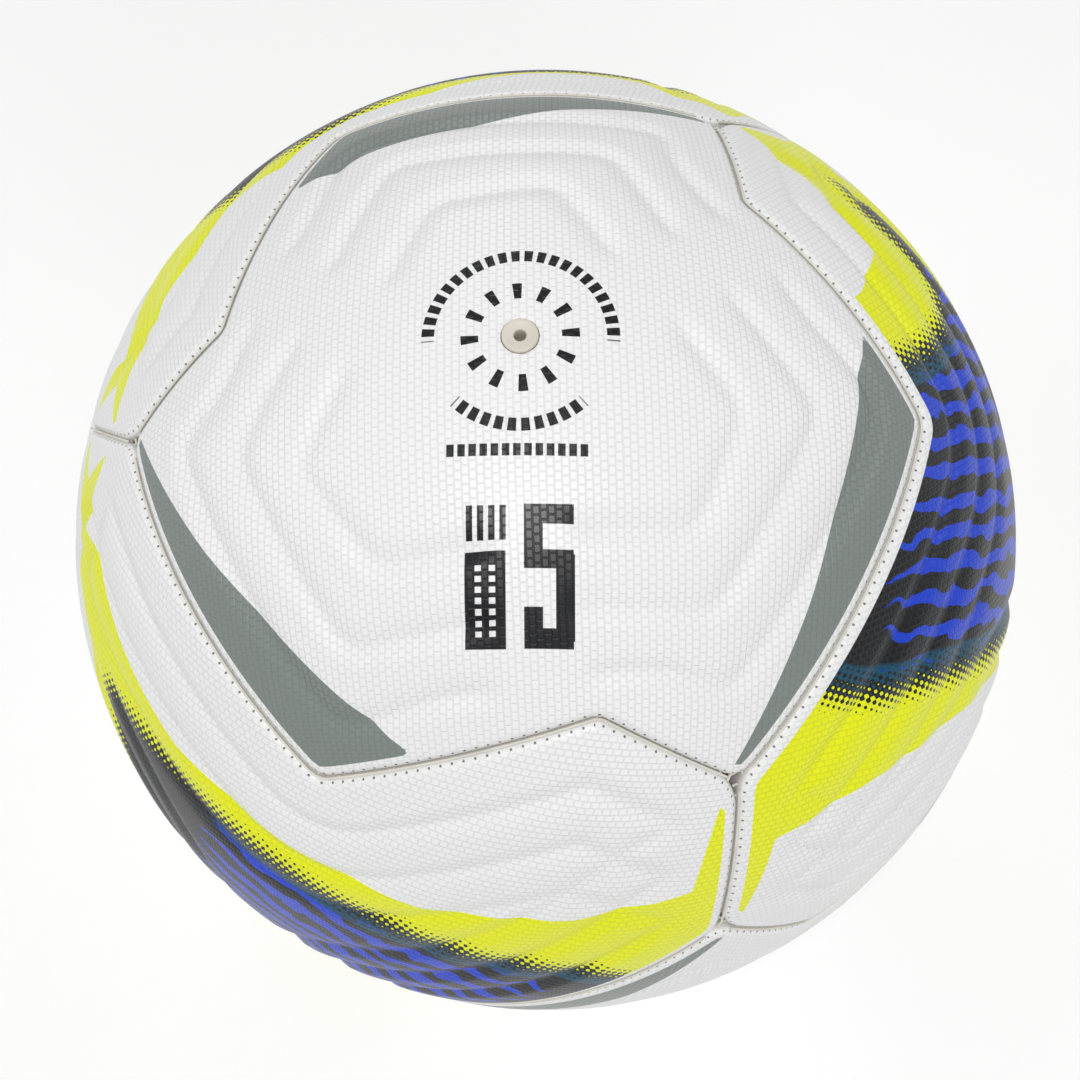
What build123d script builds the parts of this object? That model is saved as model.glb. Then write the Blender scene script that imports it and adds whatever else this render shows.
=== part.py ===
from build123d import *
import os
from math import atan2, cos, degrees, pi, radians, sin, sqrt

# A stitched size 5 football of eight panels: four "wing" panels and four "web" panels, each
# a folded skin over foam and cloth, sewn to its neighbours around an inflated bladder.
# The origin is the ball's centre and +Z leaves through the valve. Millimetres and degrees.

# Overall size
circumference = 690.0
ball_radius = circumference / (2 * pi)

# Casing, from the outside in
skin = 1.2
foam = 3.0
lining = 1.0
bladder_wall = 0.8
layer_gap = 0.05
seam_gap = 0.16
edge_round = 1.4

# Seam corners of a wing panel, as (angle from the panel's axis, bearing round it).
# The three corners repeat every 120 degrees of bearing.
junction = (44.9, 4.8)
outer_corner = (43.9, 65.1)
inner_corner = (32.5, 108.3)
# How far each corner is rounded on the flat plane where outlines are drawn, in seam order.
# A notch is always sharper than the tip that lies in it, so neighbours never overlap.
wing_rounds = [5.0, 5.0, 3.0]
web_rounds = [13.0, 7.0, 2.5, 13.0]

# Where the panels stand when the valve points straight up
valve_tilt = 3.51
valve_bearing = 144.3
print_turn = 80.35

# Seam thread
thread_radius = 0.25
thread_clearance = 0.08
thread_end_gap = 2.0

# Valve: a rubber plug in the stem of the bladder, with a blind bore for the pump's needle
plug_head_radius = 3.25
plug_head = 2.4
plug_proud = 0.35
plug_rim_round = 0.4
plug_shank_radius = 2.5
plug_length = 21.0
plug_nose = 3.0
plug_nose_radius = 1.4
needle_radius = 1.1
needle_depth = 14.0
stem_radius = 4.6
stem_length = 18.0
stem_flange_radius = 11.0
stem_flange = 1.2
shank_clearance = 0.05
head_clearance = 0.15
stem_clearance = 0.15
stem_top_gap = 0.1

# Tape discs between the casing and the bladder
tape = 0.3
valve_tape_radius = 16.0
balance_tape_radius = 19.0

# Worked out from the sizes above
foam_top = ball_radius - skin - layer_gap
foam_bottom = foam_top - foam
lining_top = foam_bottom - layer_gap
casing_inside = lining_top - lining
bladder_radius = casing_inside - layer_gap
bladder_inside = bladder_radius - bladder_wall
head_hole_radius = plug_head_radius + head_clearance
stem_hole_radius = stem_radius + stem_clearance
plug_top = ball_radius + plug_proud
stem_top = ball_radius - skin - stem_top_gap
thread_line = ball_radius - edge_round + sqrt(
    (edge_round + thread_radius + thread_clearance) ** 2 - (edge_round + seam_gap / 2) ** 2
)
tetrahedral_half = 54.7356
third = 120.0
cone_low = 0.3 * ball_radius
cone_high = 1.02 * ball_radius
cut_length = ball_radius

os.makedirs("parts", exist_ok=True)


def turned(about_y, about_z):
    """The location turned about Y and then about Z."""
    return Location((0, 0, 0), (0, 0, about_z)) * Location((0, 0, 0), (0, about_y, 0))


def ray(polar, bearing):
    """The unit vector at this angle from +Z and this bearing."""
    flat = sin(radians(polar))
    return Vector(flat * cos(radians(bearing)), flat * sin(radians(bearing)), cos(radians(polar)))


def at_height(direction, height):
    """Where a ray from the centre crosses the horizontal plane at this height."""
    return (height * direction.X / direction.Z, height * direction.Y / direction.Z)


def save(builder, name):
    """Label a finished piece and write its STEP file."""
    builder.part.label = name
    export_step(builder.part, f"parts/{name}.step")


# One location for each wing panel: the first as the valve has it, the others a half-turn
# about the middle of each of its three short seams. A web panel stands opposite each.
layout = turned(0, print_turn) * turned(-valve_tilt, 0) * turned(0, -valve_bearing)
half_turns = [Location()]
for step in range(3):
    swing = turned(tetrahedral_half, third * step)
    half_turns.append(swing * turned(0, 180) * swing.inverse())
opposite = Location((0, 0, 0), (180, 0, 0))
wing_places = [layout * half_turn for half_turn in half_turns]
web_places = [place * opposite for place in wing_places]


# ---- Panel outlines, and the cones that they make from the ball's centre ----

def wing_corners():
    """The nine corners of a wing panel, anticlockwise from outside."""
    corners = []
    for step in range(3):
        for polar, bearing in (junction, outer_corner, inner_corner):
            corners.append(ray(polar, bearing + third * step))
    return corners


def web_corners():
    """The twelve corners of the web panel opposite the first wing panel, seen as if on top."""
    corners = []
    for step in range(3):
        axis = Axis((0, 0, 0), ray(tetrahedral_half, third * step))
        start = third * (step + 1)
        seam = [junction, outer_corner, inner_corner, (junction[0], junction[1] + third)]
        for polar, bearing in seam:
            corners.append(ray(polar, bearing + start).rotate(axis, 180))
    return [Vector(corner.X, -corner.Y, -corner.Z) for corner in reversed(corners)]


def inset(corners, width):
    """The corners moved in along the ball, so that every side moves in by this width."""
    moved = []
    for place, corner in enumerate(corners):
        before = corners[place - 1].cross(corner).normalized()
        after = corner.cross(corners[(place + 1) % len(corners)]).normalized()
        inward = (before + after) * (sin(width / ball_radius) / (1 + before.dot(after)))
        moved.append(inward + corner * sqrt(1 - inward.dot(inward)))
    return moved


def panel_cone(corners, rounds, width):
    """The cone from near the centre through a panel's outline, moved in by this width."""
    rays = inset(corners, width)
    with BuildPart() as cone:
        for height in (cone_low, cone_high):
            scale = height / ball_radius
            radii = [scale * radius for radius in rounds * 3]
            with BuildSketch(Plane.XY.offset(height)):
                with BuildLine():
                    FilletPolyline(
                        *[at_height(each, height) for each in rays], radius=radii, close=True
                    )
                make_face()
        loft(ruled=True)
    return cone.part


def shell(space, outside, inside):
    """The part of a space that lies between two radii."""
    with BuildPart() as layer:
        add(space)
        Sphere(outside, rotation=(0, 90, 0), mode=Mode.INTERSECT)
        Sphere(inside, rotation=(0, 90, 0), mode=Mode.SUBTRACT)
    return layer.part


def on_cover(edge):
    """Whether an edge lies on the ball's outer surface."""
    return abs((edge @ 0.5).length - ball_radius) < 0.001


def folded_skin(space, filling):
    """A panel's skin: a cap with its edges turned in down to the cloth, rounded outside."""
    with BuildPart() as panel:
        add(shell(space, ball_radius, casing_inside))
        rims = panel.edges().filter_by(on_cover)
        fillet(rims, radius=edge_round)
        add(shell(filling, ball_radius - skin, casing_inside - 1), mode=Mode.SUBTRACT)
    return panel.part


def panel_layers(corners, rounds):
    """The three layers of a panel whose axis is +Z."""
    edge = seam_gap / 2
    space = panel_cone(corners, rounds, edge)
    filling = panel_cone(corners, rounds, edge + skin)
    packing = panel_cone(corners, rounds, edge + skin + layer_gap)
    return {
        "skin": folded_skin(space, filling),
        "foam": shell(packing, foam_top, foam_bottom),
        "lining": shell(packing, lining_top, casing_inside),
    }


wing_layers = panel_layers(wing_corners(), wing_rounds)
web_layers = panel_layers(web_corners(), web_rounds)

# The valve comes through the first wing panel, so each of its layers has a hole.
valve_holes = {
    "skin": head_hole_radius,
    "foam": stem_hole_radius,
    "lining": stem_hole_radius,
}

for layer_name, layer in wing_layers.items():
    for number, place in enumerate(wing_places, 1):
        with BuildPart() as wing_piece:
            with Locations(place):
                add(layer)
            if number == 1:
                with Locations((0, 0, ball_radius)):
                    Cylinder(valve_holes[layer_name], cut_length, mode=Mode.SUBTRACT)
        save(wing_piece, f"wing_panel_{number}_{layer_name}")

for layer_name, layer in web_layers.items():
    for number, place in enumerate(web_places, 1):
        with BuildPart() as web_piece:
            with Locations(place):
                add(layer)
        save(web_piece, f"web_panel_{number}_{layer_name}")


# ---- Seam threads ----

def sewn(path, places, name):
    """Sweep the thread along a path and write one copy at each place."""
    with BuildPart() as strand:
        with BuildSketch(Plane(origin=path @ 0, z_dir=path % 0)):
            Circle(thread_radius)
        sweep(path=path)
    for number, place in enumerate(places, 1):
        with BuildPart() as seam:
            with Locations(place):
                add(strand.part)
        save(seam, f"{name}_{number}")


def on_thread_line(edge):
    """Whether an edge lies at the depth of the seam thread."""
    return abs((edge @ 0.5).length - thread_line) < 0.001


def along_outline(edge):
    """The bearing of an edge's middle, counted from just past the first junction."""
    middle = edge @ 0.5
    return (degrees(atan2(middle.Y, middle.X)) - junction[1] - 2) % 360


# A long seam follows a wing panel's outline from one junction to the next: three sides and
# the two rounded corners between them.
with BuildPart() as seam_ball:
    add(panel_cone(wing_corners(), wing_rounds, 0))
    Sphere(thread_line, rotation=(0, 90, 0), mode=Mode.INTERSECT)
outline_edges = seam_ball.edges().filter_by(on_thread_line)
long_path = Wire(outline_edges.sort_by(along_outline)[:5])
long_places = []
for place in wing_places:
    long_places += [place * turned(0, third * step) for step in range(3)]
sewn(long_path, long_places, "long_seam_thread")

# A short seam joins two junctions, and stops short of the long seams at both.
seam_middle = ray(tetrahedral_half, 0)
seam_start = ray(*junction)
seam_end = seam_start.rotate(Axis((0, 0, 0), seam_middle), 180)
seam_axis = Axis((0, 0, 0), seam_start.cross(seam_end))
trim = degrees(thread_end_gap / thread_line)
short_path = Wire(
    [
        ThreePointArc(
            seam_start.rotate(seam_axis, trim) * thread_line,
            seam_middle * thread_line,
            seam_end.rotate(seam_axis, -trim) * thread_line,
        )
    ]
)
short_places = []
for step in range(3):
    short_places.append(layout * turned(0, third * step))
    short_places.append(wing_places[1 + (step + 1) % 3] * turned(0, third * step))
sewn(short_path, short_places, "short_seam_thread")


# ---- Valve ----

down_from = (Align.CENTER, Align.CENTER, Align.MAX)
up_from = (Align.CENTER, Align.CENTER, Align.MIN)

with BuildPart() as valve_plug:
    with Locations((0, 0, plug_top)):
        Cylinder(plug_head_radius, plug_head, align=down_from)
    fillet(valve_plug.edges().group_by(Axis.Z)[-1], radius=plug_rim_round)
    with Locations((0, 0, plug_top)):
        Cylinder(plug_shank_radius, plug_length - plug_nose, align=down_from)
    with Locations((0, 0, plug_top - plug_length)):
        Cone(plug_nose_radius, plug_shank_radius, plug_nose, align=up_from)
    with Locations((0, 0, plug_top)):
        Cylinder(needle_radius, needle_depth, align=down_from, mode=Mode.SUBTRACT)
save(valve_plug, "valve_plug")

with BuildPart() as valve_stem:
    Sphere(bladder_inside - layer_gap, rotation=(0, 90, 0))
    Sphere(bladder_inside - layer_gap - stem_flange, rotation=(0, 90, 0), mode=Mode.SUBTRACT)
    with Locations((0, 0, ball_radius)):
        Cylinder(stem_flange_radius, cut_length, mode=Mode.INTERSECT)
    with Locations((0, 0, stem_top)):
        Cylinder(stem_radius, stem_length, align=down_from)
    with Locations((0, 0, ball_radius)):
        Cylinder(plug_shank_radius + shank_clearance, cut_length, mode=Mode.SUBTRACT)
    with Locations((0, 0, plug_top - plug_head - head_clearance)):
        Cylinder(head_hole_radius, cut_length, align=up_from, mode=Mode.SUBTRACT)
save(valve_stem, "valve_stem")


# ---- Bladder and the tape discs under it ----

def disc(outside, inside, radius, side):
    """A round patch of a shell, at the top of the ball or, with side -1, at the bottom."""
    with BuildPart() as patch:
        Sphere(outside, rotation=(0, 90, 0))
        Sphere(inside, rotation=(0, 90, 0), mode=Mode.SUBTRACT)
        with Locations((0, 0, side * ball_radius)):
            Cylinder(radius, cut_length, mode=Mode.INTERSECT)
    return patch.part


with BuildPart() as valve_tape:
    add(disc(bladder_radius, bladder_radius - tape, valve_tape_radius, 1))
    with Locations((0, 0, ball_radius)):
        Cylinder(stem_hole_radius, cut_length, mode=Mode.SUBTRACT)
save(valve_tape, "valve_tape")

with BuildPart() as balance_tape:
    add(disc(bladder_radius, bladder_radius - tape, balance_tape_radius, -1))
save(balance_tape, "balance_tape")

# The bladder gives way by the thickness of each tape disc. It is turned about Z from half
# of its section, as the mould of a real one is.
hollow_bottom = bladder_radius - tape - layer_gap
with BuildPart() as bladder:
    with BuildSketch(Plane.XZ) as section:
        Circle(bladder_radius)
        Circle(bladder_inside, mode=Mode.SUBTRACT)
        for radius, side in ((valve_tape_radius, 1), (balance_tape_radius, -1)):
            with BuildSketch(mode=Mode.PRIVATE) as hollow:
                Circle(ball_radius)
                Circle(hollow_bottom, mode=Mode.SUBTRACT)
                with Locations((0, side * ball_radius)):
                    Rectangle(2 * (radius + layer_gap), ball_radius, mode=Mode.INTERSECT)
            add(hollow.sketch, mode=Mode.SUBTRACT)
        with Locations((0, ball_radius)):
            Rectangle(2 * stem_hole_radius, ball_radius, mode=Mode.SUBTRACT)
        with Locations((ball_radius, 0)):
            Rectangle(2 * ball_radius, 2 * ball_radius, mode=Mode.INTERSECT)
    revolve(axis=Axis.Z)
save(bladder, "bladder")
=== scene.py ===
"""A stitched football: eight moulded panels, their seams and stitches, prints and valve."""

import logging
import math
from dataclasses import dataclass
from enum import Enum
from typing import Callable, Dict, List, Optional, Sequence, Tuple

import bpy
import numpy as np
from mathutils import Matrix, Vector


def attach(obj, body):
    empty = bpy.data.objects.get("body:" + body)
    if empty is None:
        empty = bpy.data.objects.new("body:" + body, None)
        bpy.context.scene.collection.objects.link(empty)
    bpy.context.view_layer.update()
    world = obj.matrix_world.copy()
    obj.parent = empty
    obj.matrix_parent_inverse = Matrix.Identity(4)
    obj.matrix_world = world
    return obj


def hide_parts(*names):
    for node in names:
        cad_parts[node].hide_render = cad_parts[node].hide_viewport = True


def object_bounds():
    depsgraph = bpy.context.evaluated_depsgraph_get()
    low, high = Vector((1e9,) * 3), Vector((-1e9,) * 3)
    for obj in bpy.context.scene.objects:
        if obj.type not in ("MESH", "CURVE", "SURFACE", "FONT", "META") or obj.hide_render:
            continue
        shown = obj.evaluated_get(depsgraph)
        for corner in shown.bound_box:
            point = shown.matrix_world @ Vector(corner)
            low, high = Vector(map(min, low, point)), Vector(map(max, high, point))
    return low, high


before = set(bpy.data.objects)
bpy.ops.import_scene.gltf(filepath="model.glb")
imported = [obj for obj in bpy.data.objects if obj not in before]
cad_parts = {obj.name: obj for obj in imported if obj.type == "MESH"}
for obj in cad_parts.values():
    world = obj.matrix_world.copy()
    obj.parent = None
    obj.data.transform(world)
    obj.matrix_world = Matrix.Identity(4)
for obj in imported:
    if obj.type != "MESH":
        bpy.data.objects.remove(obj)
CAD_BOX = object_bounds()

LOG = logging.getLogger("football")
MM = 0.001
RADIUS = (CAD_BOX[1].x - CAD_BOX[0].x) / 2 / MM
THIRD = 120.0
TETRAHEDRAL_HALF = 54.7356

# Seam corners of a wing panel, as (angle from its axis, bearing), and where the panels stand.
JUNCTION = (44.9, 4.8)
OUTER_CORNER = (43.9, 65.1)
INNER_CORNER = (32.5, 108.3)
VALVE_TILT = 3.51
VALVE_BEARING = 144.3
PRINT_TURN = 80.35

# Section of a panel, in millimetres
SKIN = 1.2
CASING_INSIDE = RADIUS - 5.3
EDGE_ROUND = 2.2
EDGE_DROP = 1.75
CROWN = 0.1
SETTLE = 0.45
SETTLE_REACH = 4.0
UNDERSIDE = RADIUS - SKIN - 0.15
WING_ROUNDS = [5.0, 5.0, 3.0] * 3
WEB_ROUNDS = [13.0, 7.0, 2.5, 13.0] * 3

# Rings of a panel's section: the rolled rim, the fold, its inner wall, and all past the top
RIM_RINGS = 13
FOLD_RINGS = 4
WALL_RINGS = 4
HIDDEN_RINGS = 20
ON_TOP = 99
VALVE_HOLE = 3.4

Color = Tuple[float, float, float]
Point = Tuple[float, float]


class PanelKind(Enum):
    """The two outlines that the cover is cut to."""

    WING = "wing"
    WEB = "web"


# ---- Directions and outlines ----


def turn(degrees: float, axis: str) -> np.ndarray:
    """A turn about one axis as a 3 by 3 array."""
    return np.array(Matrix.Rotation(math.radians(degrees), 3, axis))


def ray(polar: float, bearing: float) -> np.ndarray:
    """The unit vector at this angle from +Z and this bearing, in degrees."""
    p, b = math.radians(polar), math.radians(bearing)
    return np.array([math.sin(p) * math.cos(b), math.sin(p) * math.sin(b), math.cos(p)])


def unit(v: np.ndarray) -> np.ndarray:
    """Vectors scaled to length one along their last axis."""
    return v / np.maximum(np.linalg.norm(v, axis=-1, keepdims=True), 1e-12)


def smooth(x: np.ndarray, low: float, high: float) -> np.ndarray:
    """A soft step from 0 at low to 1 at high."""
    t = np.clip((x - low) / (high - low), 0.0, 1.0)
    return t * t * (3 - 2 * t)


def panel_places() -> Dict[PanelKind, List[np.ndarray]]:
    """Where the four wing panels and the four web panels stand.

    Returns:
        For each kind, the turn that takes each panel's own frame to the ball's frame.
    """
    layout = turn(PRINT_TURN, "Z") @ turn(-VALVE_TILT, "Y") @ turn(-VALVE_BEARING, "Z")
    wings = [layout]
    for step in range(3):
        swing = turn(THIRD * step, "Z") @ turn(TETRAHEDRAL_HALF, "Y")
        wings.append(layout @ swing @ turn(180, "Z") @ swing.T)
    return {
        PanelKind.WING: wings,
        PanelKind.WEB: [place @ turn(180, "X") for place in wings],
    }


def half_turn(axis: np.ndarray, v: np.ndarray) -> np.ndarray:
    """A direction turned by half a turn about an axis."""
    return 2 * axis * float(axis @ v) - v


def wing_corners() -> List[np.ndarray]:
    """The nine corners of a wing panel, anticlockwise from outside."""
    return [
        ray(polar, bearing + THIRD * step)
        for step in range(3)
        for polar, bearing in (JUNCTION, OUTER_CORNER, INNER_CORNER)
    ]


def web_corners() -> List[np.ndarray]:
    """The twelve corners of a web panel in its own frame, anticlockwise from outside."""
    corners = []
    for step in range(3):
        axis = ray(TETRAHEDRAL_HALF, THIRD * step)
        start = THIRD * (step + 1)
        seam = [JUNCTION, OUTER_CORNER, INNER_CORNER, (JUNCTION[0], JUNCTION[1] + THIRD)]
        corners += [half_turn(axis, ray(polar, bearing + start)) for polar, bearing in seam]
    return [np.array([c[0], -c[1], -c[2]]) for c in reversed(corners)]


def run_along(line: np.ndarray) -> np.ndarray:
    """How far along a line of unit vectors each of its points lies, in mm."""
    steps = np.linalg.norm(np.diff(line, axis=0), axis=1)
    return np.concatenate([[0], np.cumsum(steps)]) * RADIUS


def rounded_outline(
    corners: Sequence[np.ndarray], rounds: Sequence[float], step: float
) -> np.ndarray:
    """A closed outline on the unit sphere with each corner rounded.

    Args:
        corners: the corners as unit vectors, in order.
        rounds: the radius of each corner on the plane that touches the panel's middle, in mm.
        step: the spacing of the points, in mm.

    Returns:
        Evenly spaced unit vectors along the outline.
    """
    flat = [np.array([c[0], c[1]]) / c[2] * RADIUS for c in corners]
    line: List[np.ndarray] = []
    count = len(flat)
    for i in range(count):
        before, here, after = flat[i - 1], flat[i], flat[(i + 1) % count]
        a, b = unit(before - here), unit(after - here)
        half = math.acos(max(-1.0, min(1.0, float(a @ b)))) / 2
        reach = rounds[i] / math.tan(half)
        centre = here + unit(a + b) * rounds[i] / math.sin(half)
        start, end = here + a * reach - centre, here + b * reach - centre
        sweep = math.pi - 2 * half
        for t in np.linspace(0, 1, 13):
            mid = start * math.sin((1 - t) * sweep) + end * math.sin(t * sweep)
            line.append(centre + mid / math.sin(sweep))
    closed = np.array([[p[0], p[1], RADIUS] for p in line + line[:1]])
    dense = []
    for p, q in zip(closed[:-1], closed[1:]):
        pieces = max(1, int(np.linalg.norm(q - p) / 0.2))
        dense += [p + (q - p) * k / pieces for k in range(pieces)]
    way = unit(np.array(dense + dense[:1]))
    run = run_along(way)
    count = int(round(run[-1] / step))
    at = np.linspace(0, run[-1], count, endpoint=False)
    return unit(np.stack([np.interp(at, run, way[:, k]) for k in range(3)], axis=1))


def arc_chain(corners: Sequence[np.ndarray], bend: float, step: float = 0.5) -> np.ndarray:
    """An open line of great circle runs whose corners are eased.

    Args:
        corners: unit vectors that the line runs by.
        bend: how far before and after a corner the line leaves the runs, in mm.
        step: the spacing of the points, in mm.

    Returns:
        Unit vectors along the line.
    """
    points = [corners[0]]
    for i in range(1, len(corners) - 1):
        here = corners[i]
        before, after = corners[i - 1] - here, corners[i + 1] - here
        a = here + unit(before) * min(bend / RADIUS, np.linalg.norm(before) / 2)
        b = here + unit(after) * min(bend / RADIUS, np.linalg.norm(after) / 2)
        points += [
            (1 - t) ** 2 * a + 2 * t * (1 - t) * here + t * t * b for t in np.linspace(0, 1, 9)
        ]
    points.append(corners[-1])
    dense = []
    for p, q in zip(points[:-1], points[1:]):
        pieces = max(1, int(np.linalg.norm(q - p) * RADIUS / step))
        dense += [p + (q - p) * k / pieces for k in range(pieces)]
    return unit(np.array(dense + [points[-1]]))


# ---- Measures over a surface ----


def nearest(
    points: np.ndarray, line: np.ndarray, closed: bool
) -> Tuple[np.ndarray, np.ndarray, np.ndarray]:
    """The nearest place on a line for each point.

    Args:
        points: unit vectors.
        line: unit vectors along the line.
        closed: whether the last point joins the first.

    Returns:
        Distance in mm, run along the line in mm, and the signed side, positive away from +Z.
    """
    ends = np.roll(line, -1, axis=0) if closed else line[1:]
    starts = line if closed else line[:-1]
    length = np.linalg.norm(ends - starts, axis=1)
    runs = np.concatenate([[0], np.cumsum(length)])
    middle = (starts + ends) / 2
    distance = np.full(len(points), 1e9)
    run, side = np.zeros(len(points)), np.ones(len(points))
    for low in range(0, len(points), 4000):
        p = points[low : low + 4000]
        near = np.argmax(p @ middle.T, axis=1)
        for shift in (-1, 0, 1):
            k = near + shift
            k = k % len(starts) if closed else np.clip(k, 0, len(starts) - 1)
            a, d = starts[k], ends[k] - starts[k]
            t = np.clip(((p - a) * d).sum(1) / np.maximum((d * d).sum(1), 1e-18), 0, 1)
            foot = a + d * t[:, None]
            gap = np.linalg.norm(p - foot, axis=1)
            better = gap < distance[low : low + 4000]
            across = np.cross(d, foot)
            away = np.where(across[:, 2] < 0, 1.0, -1.0)
            sign = np.sign(((p - foot) * across).sum(1)) * away
            distance[low : low + 4000][better] = gap[better]
            run[low : low + 4000][better] = (runs[k] + t * length[k])[better]
            side[low : low + 4000][better] = sign[better]
    return distance * RADIUS, run * RADIUS, side


def flat_map(points: np.ndarray) -> np.ndarray:
    """Unit vectors laid flat round +Z at true distance from it, in mm."""
    polar = np.arccos(np.clip(points[:, 2], -1, 1))
    flat = np.linalg.norm(points[:, :2], axis=1)
    scale = np.where(flat > 1e-9, polar / np.maximum(flat, 1e-9), 1.0) * RADIUS
    return points[:, :2] * scale[:, None]


def inside_by(points: np.ndarray, polygon: np.ndarray) -> np.ndarray:
    """How far each flat point lies inside a polygon, negative outside, in the points' unit."""
    best = np.full(len(points), 1e9)
    odd = np.zeros(len(points), bool)
    for a, b in zip(polygon, np.roll(polygon, -1, axis=0)):
        d = b - a
        t = np.clip(((points - a) @ d) / max(float(d @ d), 1e-12), 0, 1)
        best = np.minimum(best, np.linalg.norm(points - a - t[:, None] * d, axis=1))
        crosses = (a[1] > points[:, 1]) != (b[1] > points[:, 1])
        with np.errstate(divide="ignore", invalid="ignore"):
            x = a[0] + (points[:, 1] - a[1]) * d[0] / (d[1] if abs(d[1]) > 1e-12 else 1e-12)
        odd ^= crosses & (points[:, 0] < x)
    return np.where(odd, best, -best)


def eased(polygon: Sequence[Point], rounds: int) -> np.ndarray:
    """A polygon with its corners cut again and again until they are round."""
    p = np.array(polygon, float)
    for _ in range(rounds):
        q = np.roll(p, -1, axis=0)
        p = np.stack([p * 0.75 + q * 0.25, p * 0.25 + q * 0.75], axis=1).reshape(-1, 2)
    return p


# ---- Wiring of materials ----


class Wiring:
    """Adds nodes to one material and joins them up."""

    def __init__(self, name: str) -> None:
        """Start a material with an empty Principled shader."""
        self.material = bpy.data.materials.new(name)
        self.material.use_nodes = True
        self.tree = self.material.node_tree
        self.tree.nodes.clear()
        self.shader = self.tree.nodes.new("ShaderNodeBsdfPrincipled")
        output = self.tree.nodes.new("ShaderNodeOutputMaterial")
        self.tree.links.new(self.shader.outputs[0], output.inputs[0])

    def put(self, socket, value) -> None:
        """Link a socket or set its value."""
        if isinstance(value, bpy.types.NodeSocket):
            self.tree.links.new(value, socket)
        elif isinstance(value, tuple) and len(value) == 3 and socket.type == "RGBA":
            socket.default_value = (*value, 1.0)
        else:
            socket.default_value = value

    def math(self, operation: str, a, b=None, c=None, clamp: bool = False):
        """One Math node."""
        node = self.tree.nodes.new("ShaderNodeMath")
        node.operation, node.use_clamp = operation, clamp
        for socket, value in zip(node.inputs, (a, b, c)):
            if value is not None:
                self.put(socket, value)
        return node.outputs[0]

    def step(self, value, low: float, high: float):
        """A soft step from 0 at low to 1 at high, or falling when high is the smaller."""
        node = self.tree.nodes.new("ShaderNodeMapRange")
        node.interpolation_type = "SMOOTHSTEP"
        self.put(node.inputs["Value"], value)
        rising = low < high
        self.put(node.inputs["From Min"], low if rising else high)
        self.put(node.inputs["From Max"], high if rising else low)
        self.put(node.inputs["To Min"], 0.0 if rising else 1.0)
        self.put(node.inputs["To Max"], 1.0 if rising else 0.0)
        return node.outputs[0]

    def mix(self, share, a, b):
        """A colour between a and b."""
        node = self.tree.nodes.new("ShaderNodeMix")
        node.data_type = "RGBA"
        self.put(node.inputs[0], share)
        self.put(node.inputs[6], a)
        self.put(node.inputs[7], b)
        return node.outputs[2]

    def attribute(self, name: str):
        """A measure kept on the mesh."""
        node = self.tree.nodes.new("ShaderNodeAttribute")
        node.attribute_name = name
        return node.outputs["Fac"]

    def vector(self, name: str):
        """A vector kept on the mesh."""
        node = self.tree.nodes.new("ShaderNodeAttribute")
        node.attribute_name = name
        return node.outputs["Vector"]

    def place(self):
        """Object coordinates."""
        return self.tree.nodes.new("ShaderNodeTexCoord").outputs["Object"]

    def split(self, vector):
        """The three parts of a vector."""
        node = self.tree.nodes.new("ShaderNodeSeparateXYZ")
        self.put(node.inputs[0], vector)
        return node.outputs[0], node.outputs[1], node.outputs[2]

    def noise(self, vector, scale: float, detail: float = 3.0, roughness: float = 0.5):
        """Fractal noise from 0 to 1."""
        node = self.tree.nodes.new("ShaderNodeTexNoise")
        self.put(node.inputs["Vector"], vector)
        node.inputs["Scale"].default_value = scale
        node.inputs["Detail"].default_value = detail
        node.inputs["Roughness"].default_value = roughness
        return node.outputs[0]

    def bricks(self, vector, width: float, height: float, gap: float):
        """Joint lines of a brick pattern: 1 in the joints and 0 on the bricks."""
        node = self.tree.nodes.new("ShaderNodeTexBrick")
        self.put(node.inputs["Vector"], vector)
        node.inputs["Scale"].default_value = 1.0
        node.inputs["Mortar Size"].default_value = gap
        node.inputs["Mortar Smooth"].default_value = 1.0
        node.inputs["Brick Width"].default_value = width
        node.inputs["Row Height"].default_value = height
        return node.outputs["Fac"]

    def turned(self, vector, degrees: float):
        """A flat vector turned in its plane."""
        node = self.tree.nodes.new("ShaderNodeMapping")
        self.put(node.inputs["Vector"], vector)
        node.inputs["Rotation"].default_value = (0, 0, math.radians(degrees))
        return node.outputs[0]

    def bump(self, height, depth: float, below=None):
        """A bump of this depth in metres."""
        node = self.tree.nodes.new("ShaderNodeBump")
        node.inputs["Distance"].default_value = depth
        node.inputs["Strength"].default_value = 1.0
        self.put(node.inputs["Height"], height)
        if below is not None:
            self.put(node.inputs["Normal"], below)
        return node.outputs[0]

    def box(self, x, y, middle: Point, size: Point):
        """1 inside a flat rectangle and 0 outside, with a hair's soft edge."""
        dx = self.math("ABSOLUTE", self.math("SUBTRACT", x, middle[0]))
        dy = self.math("ABSOLUTE", self.math("SUBTRACT", y, middle[1]))
        past_x = self.math("SUBTRACT", dx, size[0] / 2)
        past_y = self.math("SUBTRACT", dy, size[1] / 2)
        gap = self.math("MAXIMUM", past_x, past_y)
        return self.step(gap, 0.06, -0.06)

    def length(self, x, y):
        """The length of a flat vector."""
        squares = self.math("ADD", self.math("MULTIPLY", x, x), self.math("MULTIPLY", y, y))
        return self.math("SQRT", squares)

    def between(self, value, low: float, high: float, soft: float):
        """1 between two values and 0 outside them."""
        after = self.step(value, low, low + soft)
        return self.math("MULTIPLY", after, self.step(value, high, high - soft))

    def saw(self, value, offset: float, pitch: float):
        """A value's place from 0 to 1 within each pitch."""
        return self.math("FRACT", self.math("DIVIDE", self.math("ADD", value, offset), pitch))

    def any_of(self, masks: Sequence):
        """1 where any of the masks is 1."""
        found = masks[0]
        for mask in masks[1:]:
            found = self.math("MAXIMUM", found, mask)
        return found

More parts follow.
